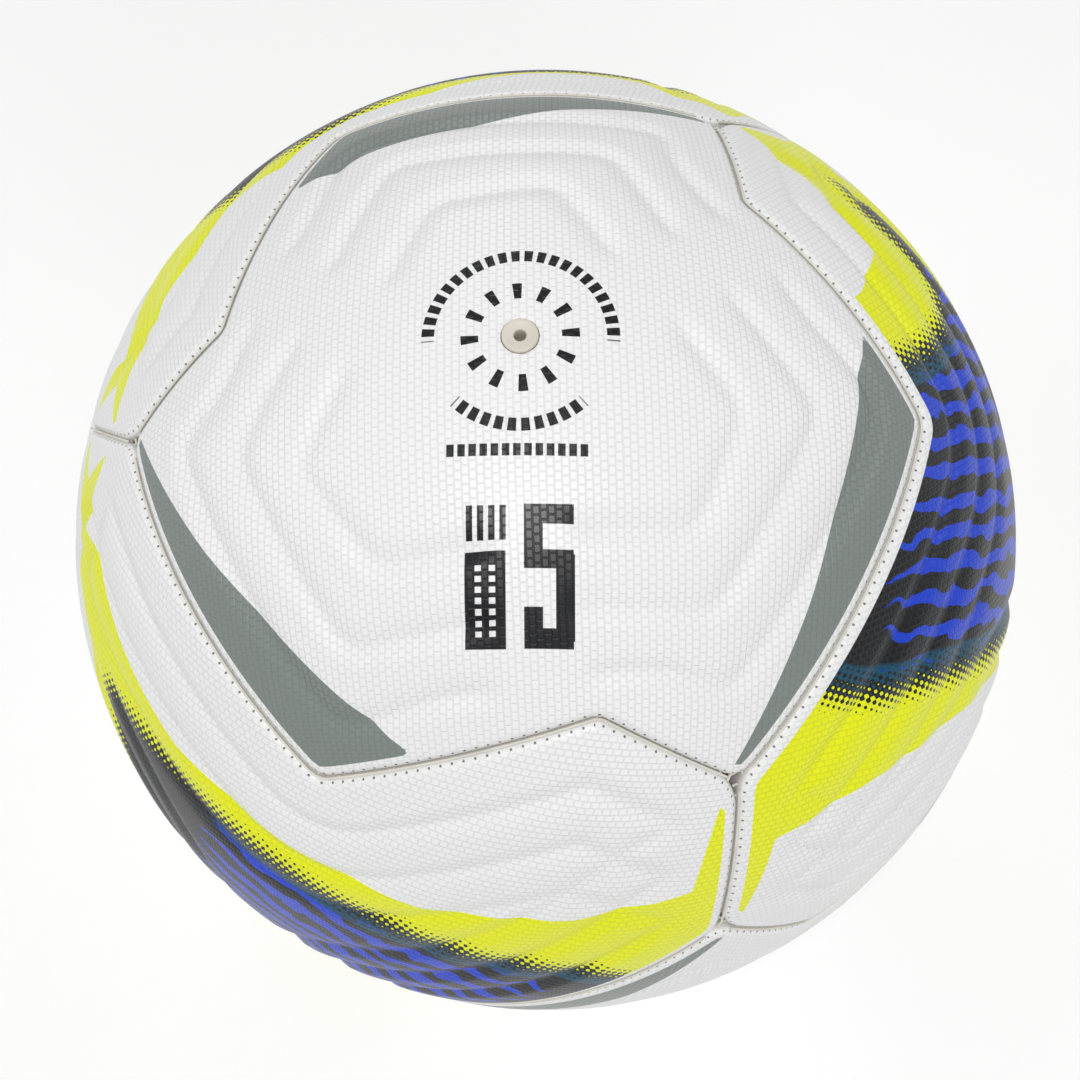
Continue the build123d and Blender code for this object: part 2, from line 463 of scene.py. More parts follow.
    def finish(self, color, roughness, normal=None) -> bpy.types.Material:
        """Join the last values to the shader."""
        self.put(self.shader.inputs["Base Color"], color)
        self.put(self.shader.inputs["Roughness"], roughness)
        if normal is not None:
            self.put(self.shader.inputs["Normal"], normal)
        return self.material


def linear(red: int, green: int, blue: int) -> Color:
    """A display colour as linear light."""
    parts = [c / 255 for c in (red, green, blue)]
    return tuple(c / 12.92 if c <= 0.04045 else ((c + 0.055) / 1.055) ** 2.4 for c in parts)


WHITE = linear(238, 238, 238)
GREY_PRINT = linear(128, 136, 132)
YELLOW_PRINT = linear(234, 240, 0)
BLACK_PRINT = linear(14, 16, 20)
BLUE_PRINT = linear(10, 62, 205)
TEAL_PRINT = linear(0, 72, 98)
INK = linear(16, 17, 21)
# Soil tone, used both for speckled soiling in the grooves and for painted shade in the seam crease.
SOIL_AND_SHADE = linear(150, 140, 120)


@dataclass(frozen=True)
class Skin:
    """Embossed polyurethane: fine staggered cells, prints, seam holes and a little soiling, with
    painted shade in the seam creases, the cell joints and the stitch holes.
    """

    cell: float = 1.62
    cell_row: float = 1.32
    cell_turn: float = 24.0
    roughness: float = 0.4
    stitch_hole_at: float = 0.95
    stitch_hole: float = 0.26
    halftone: float = 1.45
    halftone_reach: float = 3.4
    stripe: float = 6.2

    def start(self, name: str) -> Wiring:
        """A skin's shader with the values that are the same all over."""
        wire = Wiring(name)
        wire.shader.inputs["IOR"].default_value = 1.46
        wire.shader.inputs["Specular IOR Level"].default_value = 0.42
        wire.shader.inputs["Coat Weight"].default_value = 0.12
        wire.shader.inputs["Coat Roughness"].default_value = 0.28
        return wire

    def wing(self, first: bool) -> bpy.types.Material:
        """White with the grey band; the first wing panel also has the prints by the valve."""
        wire = self.start("wing_skin_printed" if first else "wing_skin")
        band = wire.step(wire.attribute("band_mm"), -0.08, 0.08)
        color = wire.mix(band, WHITE, GREY_PRINT)
        inks = band
        if first:
            marks = self.valve_marks(wire)
            color = wire.mix(marks, color, INK)
            inks = wire.math("MAXIMUM", band, marks)
        return self.close(wire, color, inks)

    def web(self) -> bpy.types.Material:
        """White with a yellow sweep that breaks up in dots into black, striped with blue."""
        wire = self.start("web_skin")
        flat = wire.vector("flat_mm")
        margin = wire.step(wire.attribute("edge_mm"), 2.75, 2.95)
        sweep = wire.math("MULTIPLY", margin, wire.step(wire.attribute("sweep_mm"), -0.1, 0.1))
        fx, fy, _ = wire.split(wire.turned(flat, 12.0))
        wave = math.tau / self.halftone / math.sqrt(2)
        dots = wire.math(
            "MULTIPLY",
            wire.math("SINE", wire.math("MULTIPLY", fx, wave)),
            wire.math("SINE", wire.math("MULTIPLY", fy, wave)),
        )
        dark = wire.attribute("dark_mm")
        dotted = wire.math("ADD", wire.math("DIVIDE", dark, self.halftone_reach), dots)
        black = wire.step(dotted, -0.06, 0.06)
        wander = wire.math("SUBTRACT", wire.noise(flat, 0.085, 2.0, 0.45), 0.5)
        fine = wire.math("SUBTRACT", wire.noise(flat, 0.45, 2.0, 0.6), 0.5)
        sx, sy, _ = wire.split(wire.turned(flat, 40.0))
        across = wire.math(
            "ADD",
            wire.math("ADD", sy, wire.math("MULTIPLY", wander, 9.0)),
            wire.math("MULTIPLY", fine, 0.5),
        )
        ripple = wire.math("SINE", wire.math("MULTIPLY", across, math.tau / self.stripe))
        body = wire.math("MULTIPLY", wire.step(sx, -74.0, -40.0), wire.step(sx, 26.0, -2.0))
        body = wire.math("MULTIPLY", body, wire.step(dark, 3.5, 6.5))
        level = wire.math("SUBTRACT", 1.3, wire.math("MULTIPLY", body, 1.25))
        blue = wire.step(wire.math("SUBTRACT", ripple, level), -0.06, 0.06)
        inner = wire.mix(blue, BLACK_PRINT, BLUE_PRINT)
        patch = wire.math("MULTIPLY", wire.step(dark, 7.4, 6.4), wire.step(fx, 12.0, -6.0))
        patch = wire.math("MULTIPLY", patch, wire.step(dotted, 1.0, 1.25))
        inner = wire.mix(patch, inner, TEAL_PRINT)
        printed = wire.mix(black, YELLOW_PRINT, inner)
        color = wire.mix(sweep, WHITE, printed)
        return self.close(wire, color, sweep)

    def valve_marks(self, wire: Wiring):
        """Plain marks round the valve: rings of ticks, a row of dashes, a size number and a bar."""
        x, y, z = wire.split(wire.place())
        x, y = wire.math("MULTIPLY", x, 1000.0), wire.math("MULTIPLY", y, 1000.0)
        out = wire.length(x, y)
        bearing = wire.math("ARCTAN2", x, y)
        masks = []
        ring = wire.between(out, 14.95, 17.35, 0.12)
        tooth = wire.between(wire.saw(bearing, 4.0, math.tau / 44), 0.16, 0.84, 0.04)
        turnabout = wire.math("ABSOLUTE", bearing)
        arcs = wire.any_of([wire.step(turnabout, 1.62, 1.6), wire.step(turnabout, 2.38, 2.4)])
        masks.append(wire.math("MULTIPLY", wire.math("MULTIPLY", ring, tooth), arcs))
        dial = wire.between(out, 7.2, 10.4, 0.1)
        spoke = wire.between(wire.saw(bearing, 4.0, math.tau / 12), 0.33, 0.67, 0.015)
        masks.append(wire.math("MULTIPLY", dial, spoke))
        dash = wire.between(wire.saw(x, 100.0, 1.9), 0.14, 0.86, 0.04)
        masks.append(wire.math("MULTIPLY", dash, wire.box(x, y, (0.0, -20.4), (24.7, 2.1))))
        for middle, size in (
            ((5.2, -31.0), (8.4, 3.2)),
            ((2.6, -34.0), (3.2, 9.2)),
            ((5.2, -38.2), (8.4, 3.0)),
            ((8.0, -44.2), (3.2, 13.6)),
            ((5.2, -50.6), (8.4, 3.2)),
            ((2.6, -48.4), (3.2, 5.4)),
            ((-5.6, -44.6), (7.0, 15.4)),
        ):
            masks.append(wire.box(x, y, middle, size))
        for row in range(4):
            masks.append(wire.box(x, y, (-8.3 + 1.9 * row, -32.4), (1.1, 5.6)))
        gaps = wire.between(wire.saw(y, 100.0, 1.7), 0.2, 0.8, 0.04)
        cuts = [
            wire.math("MULTIPLY", gaps, wire.box(x, y, (-6.8 + 2.4 * row, -44.6), (1.1, 12.0)))
            for row in range(2)
        ]
        uncut = wire.math("SUBTRACT", 1.0, wire.any_of(cuts))
        solid = wire.math("MULTIPLY", wire.any_of(masks), uncut)
        return wire.math("MULTIPLY", solid, wire.math("GREATER_THAN", z, 0.05))

    def close(self, wire: Wiring, color, inks) -> bpy.types.Material:
        """Add the embossing, the stitch holes, the soiling and the painted shade in the seams, cell
        joints and holes, and close the shader.
        """
        flat = wire.vector("flat_mm")
        edge = wire.attribute("edge_mm")
        joints = wire.bricks(wire.turned(flat, self.cell_turn), self.cell, self.cell_row, 0.24)
        smooth_rim = wire.step(edge, 0.6, 2.2)
        cells = wire.math("MULTIPLY", wire.math("SUBTRACT", 1.0, joints), smooth_rim)
        node = wire.tree.nodes.new("ShaderNodeUVMap")
        node.uv_map = "seam_run"
        run, away, _ = wire.split(node.outputs[0])
        along = wire.math("SUBTRACT", wire.math("FRACT", run), 0.5)
        along = wire.math("MULTIPLY", along, 2.2)
        off = wire.math("SUBTRACT", away, self.stitch_hole_at)
        gap = wire.length(along, off)
        hole = wire.step(gap, self.stitch_hole, self.stitch_hole * 0.4)
        blotch = wire.noise(flat, 0.06, 4.0, 0.6)
        specks = wire.step(wire.noise(flat, 1.1, 3.0, 0.6), 0.63, 0.74)
        groove = wire.step(wire.attribute("groove_mm"), 0.45, 0.95)
        groove_soil_and_seam_shade = wire.math("MULTIPLY", groove, specks)
        groove_soil_and_seam_shade = wire.math("MULTIPLY", groove_soil_and_seam_shade, wire.step(blotch, 0.5, 0.66))
        # Within 0.7 mm of the seam line the colour is evenly darkened towards the soil tone: soil
        # in the seam together with painted shade in the seam crease.
        seam_soil_and_shade = wire.math("MULTIPLY", wire.step(edge, 0.7, 0.1), 0.45)
        groove_soil_and_seam_shade = wire.math("MAXIMUM", wire.math("MULTIPLY", groove_soil_and_seam_shade, 0.32), seam_soil_and_shade)
        color = wire.mix(groove_soil_and_seam_shade, color, SOIL_AND_SHADE)
        # The embossing's joints are darkened by 7 %: painted shade in the recesses between the
        # raised cells.
        color = wire.mix(wire.math("MULTIPLY", joints, 0.07), color, (0.0, 0.0, 0.0))
        # The stitch holes are painted dark brown-grey: painted shade inside the holes.
        color = wire.mix(wire.math("MULTIPLY", hole, 0.8), color, linear(60, 56, 50))
        uneven = wire.math("MULTIPLY", wire.math("SUBTRACT", blotch, 0.5), 0.12)
        rough = wire.math("ADD", self.roughness, uneven)
        rough = wire.math("ADD", rough, wire.math("MULTIPLY", joints, 0.12))
        rough = wire.math("SUBTRACT", rough, wire.math("MULTIPLY", inks, 0.04), clamp=True)
        grain = wire.noise(flat, 6.0, 2.0, 0.6)
        low = wire.bump(wire.math("SUBTRACT", 1.0, hole), 0.00025)
        fine = wire.bump(grain, 0.00001, low)
        normal = wire.bump(cells, 0.00009, fine)
        return wire.finish(color, rough, normal)


@dataclass(frozen=True)
class PlainFinish:
    """A soft matt material with fine grain, for what lies under the skins and in the valve."""

    name: str
    color: Color
    roughness: float
    grain: float = 900.0
    depth: float = 0.00004
    variation: float = 0.12
    weave: bool = False

    def make(self) -> bpy.types.Material:
        """The material."""
        wire = Wiring(self.name)
        place = wire.place()
        noise = wire.noise(place, self.grain, 4.0, 0.6)
        broad = wire.noise(place, self.grain / 14, 2.0, 0.5)
        darker = tuple(c * (1 - self.variation) for c in self.color)
        color = wire.mix(wire.step(broad, 0.3, 0.7), darker, self.color)
        height = noise
        if self.weave:
            px, py, pz = wire.split(place)
            waves = [wire.math("SINE", wire.math("MULTIPLY", p, 7000.0)) for p in (px, py, pz)]
            height = wire.math("ADD", wire.math("ADD", waves[0], waves[1]), waves[2])
            height = wire.math("ADD", noise, wire.math("MULTIPLY", height, 0.2))
        rough = wire.math("ADD", self.roughness - 0.05, wire.math("MULTIPLY", noise, 0.1))
        return wire.finish(color, rough, wire.bump(height, self.depth))


# ---- Building pieces ----


def clear_selection() -> None:
    """Deselect everything, as the frame's nodes come in selected."""
    if bpy.context.mode != "OBJECT":
        bpy.ops.object.mode_set(mode="OBJECT")
    bpy.ops.object.select_all(action="DESELECT")


def edit(piece: bpy.types.Object, *steps: Callable[[], object]) -> None:
    """Run edit mode operators on the whole of a piece.

    Args:
        piece: the mesh object.
        steps: what to run while everything is selected.
    """
    clear_selection()
    piece.select_set(True)
    bpy.context.view_layer.objects.active = piece
    bpy.ops.object.mode_set(mode="EDIT")
    bpy.ops.mesh.select_all(action="SELECT")
    for step in steps:
        step()
    bpy.ops.object.mode_set(mode="OBJECT")


def coordinates(piece: bpy.types.Object) -> np.ndarray:
    """The vertices of a piece as an array."""
    co = np.zeros(len(piece.data.vertices) * 3, np.float32)
    piece.data.vertices.foreach_get("co", co)
    return co.reshape(-1, 3).astype(float)


def set_coordinates(piece: bpy.types.Object, co: np.ndarray) -> None:
    """Move the vertices of a piece."""
    piece.data.vertices.foreach_set("co", co.astype(np.float32).ravel())
    piece.data.update()


def keep_measure(piece: bpy.types.Object, name: str, values: np.ndarray) -> None:
    """Keep a measure, or a vector, on each vertex."""
    kind = "FLOAT" if values.ndim == 1 else "FLOAT_VECTOR"
    layer = piece.data.attributes.new(name, kind, "POINT")
    field = "value" if values.ndim == 1 else "vector"
    layer.data.foreach_set(field, values.astype(np.float32).ravel())


def shade(piece: bpy.types.Object, degrees: float = 180.0) -> None:
    """Smooth shading, kept sharp past an angle."""
    clear_selection()
    piece.select_set(True)
    bpy.context.view_layer.objects.active = piece
    bpy.ops.object.shade_smooth_by_angle(angle=math.radians(degrees))


def dress(piece: bpy.types.Object, material: bpy.types.Material, body: str) -> None:
    """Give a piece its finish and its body."""
    piece.data.materials.clear()
    piece.data.materials.append(material)
    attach(piece, body)


def groove_depth(side_mm: np.ndarray, depth: float, inner: float, outer: float) -> np.ndarray:
    """Depth of a moulded channel across its line.

    Args:
        side_mm: distance from the crease, positive towards the ridge.
        depth: depth at the crease.
        inner: width of the shoulder that falls to the crease.
        outer: width of the slope that rises to the ridge.

    Returns:
        The depth at each distance, in mm.
    """
    at = np.arange(-16.0, 16.0, 0.05)
    down = np.where(
        at < 0,
        np.clip(1 + at / inner, 0, 1) ** 1.9,
        np.clip(1 - at / outer, 0, 1) ** 1.15,
    )
    spread = np.exp(-0.5 * (np.arange(-1.5, 1.55, 0.05) / 0.26) ** 2)
    eased_down = np.convolve(down, spread / spread.sum(), mode="same")
    return depth * np.interp(side_mm, at, eased_down, left=0, right=0)


@dataclass
class Panel:
    """A moulded panel of the cover, from a round lattice of columns that meet in its middle."""

    kind: PanelKind
    step: float = 0.92
    rings: int = 112
    stitch: float = 2.2
    groove: float = 1.2
    inner_shoulder: float = 5.2
    outer_slope: float = 3.5

    def outline(self) -> np.ndarray:
        """The seam line round the panel, with its corners rounded."""
        if self.kind is PanelKind.WING:
            return rounded_outline(wing_corners(), WING_ROUNDS, self.step)
        return rounded_outline(web_corners(), WEB_ROUNDS, self.step)

    def grooves(self) -> List[np.ndarray]:
        """The creases of a wing panel, each repeated three times round it."""
        lines = (
            ((15.2, -8.0), (21.8, 25.0), (21.5, 58.1), (15.6, 89.8)),
            ((21.5, -13.7), (28.3, 15.7), (29.7, 61.4), (22.1, 93.0)),
            (
                (28.6, -16.0), (28.4, -9.7), (30.3, 1.6), (35.6, 10.1),
                (36.8, 64.1), (35.0, 70.5), (30.6, 79.8), (28.7, 93.4),
            ),
        )
        return [
            arc_chain([ray(polar, bearing + THIRD * k) for polar, bearing in line], 4.0)
            for line in lines
            for k in range(3)
        ]

    def channel(self, side_mm: np.ndarray, strength: float = 1.0) -> np.ndarray:
        """Depth of one channel at each distance from its crease."""
        depth = self.groove * strength
        return groove_depth(side_mm, depth, self.inner_shoulder, self.outer_slope)

    def relief(self, points: np.ndarray) -> np.ndarray:
        """Depth of the channels of this kind of panel at each point."""
        return self.wing_relief(points) if self.kind is PanelKind.WING else self.web_relief(points)

    def wing_relief(self, points: np.ndarray) -> np.ndarray:
        """Depth of the channels of a wing panel at each point."""
        depth = np.zeros(len(points))
        for line in self.grooves():
            distance, run, side = nearest(points, line, closed=False)
            length = run_along(line)[-1]
            taper = smooth(np.minimum(run, length - run), -0.5, 7.0)
            depth = np.maximum(depth, self.channel(distance * side) * taper)
        return depth

    def web_relief(self, points: np.ndarray) -> np.ndarray:
        """Depth of the channels of a web panel, which run along its long seams."""
        corners = web_corners()
        depth = np.zeros(len(points))
        ends = np.full(len(points), 1e9)
        for k in range(3):
            short = arc_chain([corners[4 * k - 1], corners[4 * k]], 1.0)
            ends = np.minimum(ends, nearest(points, short, closed=False)[0])
        fade = smooth(ends, 7.0, 17.0)
        for k in range(3):
            seam = arc_chain([corners[(4 * k + j) % 12] for j in range(4)], 5.0)
            distance = nearest(points, seam, closed=False)[0]
            for place, strength in ((12.5, 1.0), (24.0, 0.9), (35.0, 0.7)):
                depth = np.maximum(depth, self.channel(place - distance, strength) * fade)
        return depth

    def prints(self, piece: bpy.types.Object, points: np.ndarray, edge: np.ndarray) -> None:
        """Keep what the printed shapes need: how far inside each one a point lies."""
        flat = flat_map(points)
        keep_measure(piece, "flat_mm", np.column_stack([flat, edge]))
        degree = RADIUS * math.pi / 180
        if self.kind is PanelKind.WING:
            band = np.full(len(points), -99.0)
            for k in range(3):
                tip, end = ray(42.5, 5.3 + THIRD * k), ray(36.9, 78.9 + THIRD * k)
                normal = unit(np.cross(tip, end))
                beyond = -np.arcsin(np.clip(points @ normal, -1, 1)) * RADIUS
                bearing = np.degrees(np.arctan2(points[:, 1], points[:, 0])) - THIRD * k
                bearing = (bearing + 60) % 360 - 60
                near = np.minimum(bearing - 2.0, 84.0 - bearing) * 0.9
                band = np.maximum(band, np.minimum(np.minimum(beyond, near), edge - 2.6))
            keep_measure(piece, "band_mm", band)
            return
        sweep = [
            (-66, 16), (-55, -10), (-50, 1), (-38, -0.6), (-24, -5), (-10, -12.6),
            (3, -20.6), (12, -28.6), (20, -36), (25.5, -37), (21.5, -47), (28, -41.5),
            (33, -46), (30.5, -36), (25, -20), (22.6, 0), (23, 20), (25, 32), (31, 42),
            (24, 46), (20, 53), (13.6, 46.5), (7, 36.4), (-2.5, 37.4), (-14, 42), (-40, 40),
        ]
        dark = [
            (-45, 26), (-41, 16.5), (-36, 9.6), (-28, 4.3), (-20, -2), (-10, -8.5),
            (2, -16.2), (14, -21.5), (20.5, -21.5), (20, -8), (19.5, 8), (20, 22), (20, 42),
            (16, 38), (14.5, 26), (7, 25), (-4.5, 29.5), (-12, 36), (-30, 36),
        ]
        keep_measure(piece, "sweep_mm", inside_by(flat, np.array(sweep, float) * degree))
        keep_measure(piece, "dark_mm", inside_by(flat, eased(dark, 3) * degree))

    def build(self, name: str, hole: Optional[np.ndarray]) -> bpy.types.Object:
        """Make one panel in its own frame.

        Args:
            name: the name of the piece.
            hole: the direction of the valve in the panel's frame, or None.

        Returns:
            The panel with its middle on +Z.
        """
        outline = self.outline()
        columns = len(outline)
        total = self.rings + HIDDEN_RINGS
        clear_selection()
        if hole is None:
            bpy.ops.mesh.primitive_uv_sphere_add(segments=columns, ring_count=total, radius=1)
        else:
            bpy.ops.mesh.primitive_torus_add(
                major_segments=columns, minor_segments=total, major_radius=2, minor_radius=1
            )
        piece = bpy.context.active_object
        piece.name = piece.data.name = name
        co = coordinates(piece)
        around = np.degrees(np.arctan2(co[:, 1], co[:, 0])) / 360
        around = np.round(around * columns).astype(int) % columns
        if hole is None:
            level = np.round(np.arccos(np.clip(co[:, 2], -1, 1)) / math.pi * total).astype(int)
            middle, start = np.array([0.0, 0.0, 1.0]), 0.0
        else:
            out = np.linalg.norm(co[:, :2], axis=1) - 2
            turned_by = (math.pi - np.arctan2(co[:, 2], out)) % math.tau
            level = np.round(turned_by / math.tau * total).astype(int) % total
            middle, start = hole, VALVE_HOLE
        edge_points = outline[around]
        inward = self.inward(outline)
        away = unit(edge_points - middle * (edge_points @ middle)[:, None])
        reach = np.arccos(np.clip(edge_points @ middle, -1, 1)) * RADIUS
        share, height, inset = self.section(level, total, hole is not None)
        along = start + (reach - start) * share
        angle = along / RADIUS
        rays = middle * np.cos(angle)[:, None] + away * np.sin(angle)[:, None]
        moved = unit(rays + inward[around] * (inset / RADIUS)[:, None])
        rays = np.where(inset[:, None] > 0, moved, rays)
        top = height == ON_TOP
        distance, run, _ = nearest(rays, outline, closed=True)
        edge = np.where(top & (share < 0.9999), distance, 0.0)
        relief = np.zeros(len(co))
        relief[top] = self.relief(rays[top])
        seam_calm = smooth(edge, 2.0, 6.0)
        relief *= seam_calm
        if hole is not None:
            from_valve = np.arccos(np.clip(rays @ hole, -1, 1)) * RADIUS
            relief += 0.25 * (1 - smooth(from_valve, VALVE_HOLE, VALVE_HOLE + 0.9)) * top
        past = (EDGE_ROUND - np.minimum(edge, EDGE_ROUND)) / EDGE_ROUND
        roll = EDGE_DROP * (1 - np.sqrt(np.clip(1 - past**2, 0, 1)))
        settle = SETTLE * np.exp(-edge / SETTLE_REACH)
        lips = RADIUS + CROWN - EDGE_DROP - SETTLE
        fold = lips + (CASING_INSIDE - lips) * (height - 1)
        wall = CASING_INSIDE - (UNDERSIDE - CASING_INSIDE) * height
        radius = np.where(top, RADIUS + CROWN - relief - roll - settle, fold)
        radius = np.where(height < 0, wall, radius)
        set_coordinates(piece, rays * radius[:, None] * MM)
        self.seam_uv(piece, run, edge, columns * self.step)
        keep_measure(piece, "edge_mm", edge)
        keep_measure(piece, "groove_mm", relief)
        self.prints(piece, rays, edge)
        edit(piece, lambda: bpy.ops.mesh.normals_make_consistent(inside=False))
        shade(piece, 60)
        return piece

    def inward(self, outline: np.ndarray) -> np.ndarray:
        """The direction into the panel at each point of its outline."""
        along = unit(np.roll(outline, -1, axis=0) - np.roll(outline, 1, axis=0))
        return unit(np.cross(outline, along))

    def section(
        self, level: np.ndarray, total: int, holed: bool
    ) -> Tuple[np.ndarray, np.ndarray, np.ndarray]:
        """Where each ring of the lattice lies on the panel's closed section.

        Args:
            level: the ring of each vertex, from the middle of the outside.
            total: how many rings there are.
            holed: whether the lattice starts and ends at the valve's hole.

        Returns:
            The share of the way from the middle to the seam; ON_TOP outside, from 1 to 2 down
            the fold and from 0 to -1 up its inner wall; and the distance in from the fold.
        """
        top, rim, fold, wall = self.rings, RIM_RINGS, FOLD_RINGS, WALL_RINGS
        share, height, inset = np.zeros(total + 1), np.zeros(total + 1), np.zeros(total + 1)
        t = np.linspace(0, 1, top - rim)
        shelf = 0.955
        share[: top - rim] = t * shelf
        k = np.arange(1, rim + 1) / rim
        share[top - rim : top] = shelf + (1 - shelf) * (1 - (1 - k) ** 1.7)
        height[:top] = ON_TOP
        share[top : top + fold] = 1
        height[top : top + fold] = 1 + np.arange(1, fold + 1) / fold
        share[top + fold : top + fold + wall] = 1
        height[top + fold : top + fold + wall] = -np.linspace(0.001, 1, wall)
        inset[top + fold : top + fold + wall] = SKIN
        left = total + 1 - (top + fold + wall)
        back = np.linspace(0.975, 0, left + 1)
        share[top + fold + wall :] = back[:-1] if holed else back[1:]
        share[top + fold + wall] = 0.96
        height[top + fold + wall :] = -1
        if holed:
            share[total - 1] = 0
        return share[level], height[level], inset[level]

    def seam_uv(
        self, piece: bpy.types.Object, run: np.ndarray, edge: np.ndarray, around: float
    ) -> None:
        """Keep the stitch count along the seam and the distance from it as a UV map."""
        stitches = round(around / self.stitch)
        u = run / run.max() * stitches
        loops = np.zeros(len(piece.data.loops), np.int32)
        piece.data.loops.foreach_get("vertex_index", loops)
        starts = np.zeros(len(piece.data.polygons), np.int32)
        counts = np.zeros(len(piece.data.polygons), np.int32)
        piece.data.polygons.foreach_get("loop_start", starts)
        piece.data.polygons.foreach_get("loop_total", counts)
        face = np.repeat(np.arange(len(starts)), counts)
        values = u[loops]
        highest = np.full(len(starts), -1e9)
        np.maximum.at(highest, face, values)
        values = np.where(highest[face] - values > stitches / 2, values + stitches, values)
        layer = piece.data.uv_layers.new(name="seam_run")
        uv = np.column_stack([values, edge[loops]]).astype(np.float32)
        layer.data.foreach_set("uv", uv.ravel())


@dataclass
class Cover:
    """The eight panels of the cover."""

    skin: Skin = Skin()

    def build(self) -> List[bpy.types.Object]:
        """Make, dress and place every panel."""
        made = []
        places = panel_places()
        valve = np.array([0.0, 0.0, 1.0])
        for kind, slot in ((PanelKind.WING, "wing_skin"), (PanelKind.WEB, "web_skin")):
            if kind is PanelKind.WING:
                finishes = [self.skin.wing(True), self.skin.wing(False)]
            else:
                finishes = [self.skin.web()]
            model, waiting = None, []
            for number, place in enumerate(places[kind], 1):
                first = kind is PanelKind.WING and number == 1
                name = f"{kind.value}_panel_{number}"
                if first:
                    piece = Panel(kind).build(name, place.T @ valve)
                elif model is None:
                    piece = model = Panel(kind).build(name, None)
                else:
                    piece = model.copy()
                    piece.data = model.data.copy()
                    piece.name = piece.data.name = name
                    bpy.context.scene.collection.objects.link(piece)
                waiting.append((piece, name, place, finishes[0] if first else finishes[-1]))
            for piece, name, place, finish in waiting:
                piece.data.transform(Matrix(place.tolist()).to_4x4())
                dress(piece, finish, "root")
                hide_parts(f"{name}_skin")
                LOG.info("%s: %d faces", name, len(piece.data.polygons))
                made.append(piece)
        return made


@dataclass
class Stitching:
    """The hand stitches that cross each seam."""

    pitch: float = 2.2
    thread: float = 0.3
    half_span: float = 0.95

    def lines(self) -> Dict[str, np.ndarray]:
        """The seams as lines in the ball's frame."""
        places = panel_places()[PanelKind.WING]
        corners = wing_corners()
        found: Dict[str, np.ndarray] = {}
        number = 0
        for place in places:
            for step in range(3):
                number += 1
                run = arc_chain([corners[(3 * step + j) % 9] for j in range(4)], 4.0)
                found[f"long_seam_stitches_{number}"] = run @ place.T
        middle = ray(TETRAHEDRAL_HALF, 0)
        start = ray(*JUNCTION)
        short = arc_chain([start, half_turn(middle, start)], 1.0)
        layout = places[0]
        number = 0
        for step in range(3):
            for place in (layout, places[1 + (step + 1) % 3]):
                number += 1
                found[f"short_seam_stitches_{number}"] = short @ (place @ turn(THIRD * step, "Z")).T
        return found

    def build(self, material: bpy.types.Material) -> List[bpy.types.Object]:
        """Make the stitches of every seam from one modelled stitch."""
        clear_selection()
        bpy.ops.mesh.primitive_cylinder_add(
            vertices=6, radius=self.thread, depth=2 * self.half_span, end_fill_type="TRIFAN"
        )
        model = bpy.context.active_object
        edit(model, lambda: bpy.ops.mesh.subdivide(number_cuts=1))
        shape = coordinates(model)
        faces = [list(p.vertices) for p in model.data.polygons]
        bpy.data.objects.remove(model)
        across_at = shape[:, 2]
        sag = 0.55 * (1 - (across_at / self.half_span) ** 2)
        made = []
        for name, line in self.lines().items():
            run = run_along(line)
            count = int((run[-1] - 3) / self.pitch)
            at = np.linspace(1.5, run[-1] - 1.5, count)
            centre = unit(np.stack([np.interp(at, run, line[:, k]) for k in range(3)], axis=1))
            ahead = np.stack([np.interp(at + 0.4, run, line[:, k]) for k in range(3)], axis=1)
            along = unit(ahead - centre)
            across = np.cross(centre, along)
            depth = RADIUS - 1.55
            points = (
                centre[:, None, :] * (depth - sag[None, :, None] + shape[None, :, 0:1])
                + along[:, None, :] * (shape[None, :, 1:2] + 0.25 * across_at[None, :, None])
                + across[:, None, :] * across_at[None, :, None]
            ).reshape(-1, 3)
            mesh = bpy.data.meshes.new(name)
            copied = [[v + i * len(shape) for v in f] for i in range(count) for f in faces]
            mesh.from_pydata((points * MM).tolist(), [], copied)
            piece = bpy.data.objects.new(name, mesh)
            bpy.context.scene.collection.objects.link(piece)
            edit(piece, lambda: bpy.ops.mesh.normals_make_consistent(inside=False))
            shade(piece, 70)
            dress(piece, material, "root")
            LOG.info("%s: %d stitches", name, count)
            made.append(piece)
        return made


